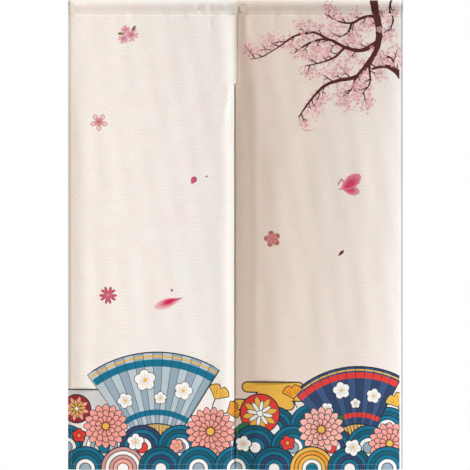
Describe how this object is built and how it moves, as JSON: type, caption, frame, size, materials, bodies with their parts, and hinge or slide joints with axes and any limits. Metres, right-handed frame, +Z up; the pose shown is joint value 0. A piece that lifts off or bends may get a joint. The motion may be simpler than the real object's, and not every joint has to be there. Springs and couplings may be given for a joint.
{
  "type": "noren curtain",
  "caption": "Doorway curtain of two printed cloth panels, sewn together at the top above a long slit, with an empty rod pocket along the top edge.",
  "frame": {"origin": "middle of the curtain's top edge, at the top of the rod pocket", "axes": "+Z up, +X to the right of someone who looks at the printed face, -Y towards that person"},
  "size_m": [0.8515, 0.0226, 1.195],
  "materials": {
    "panel_left": "plain woven cloth, matt, cream with a fine wave print, blossoms and a coloured band at the foot",
    "panel_right": "plain woven cloth, matt, cream with a fine wave print, a blossoming branch and a coloured band at the foot",
    "heading_left": "the same cream cloth, folded over and sewn",
    "heading_right": "the same cream cloth, folded over and sewn, with the top of the branch on it"
  },
  "bodies": {
    "root": {"panel_left": "panel_left", "panel_right": "panel_right", "heading_left": "heading_left", "heading_right": "heading_right"}
  },
  "joints": []
}
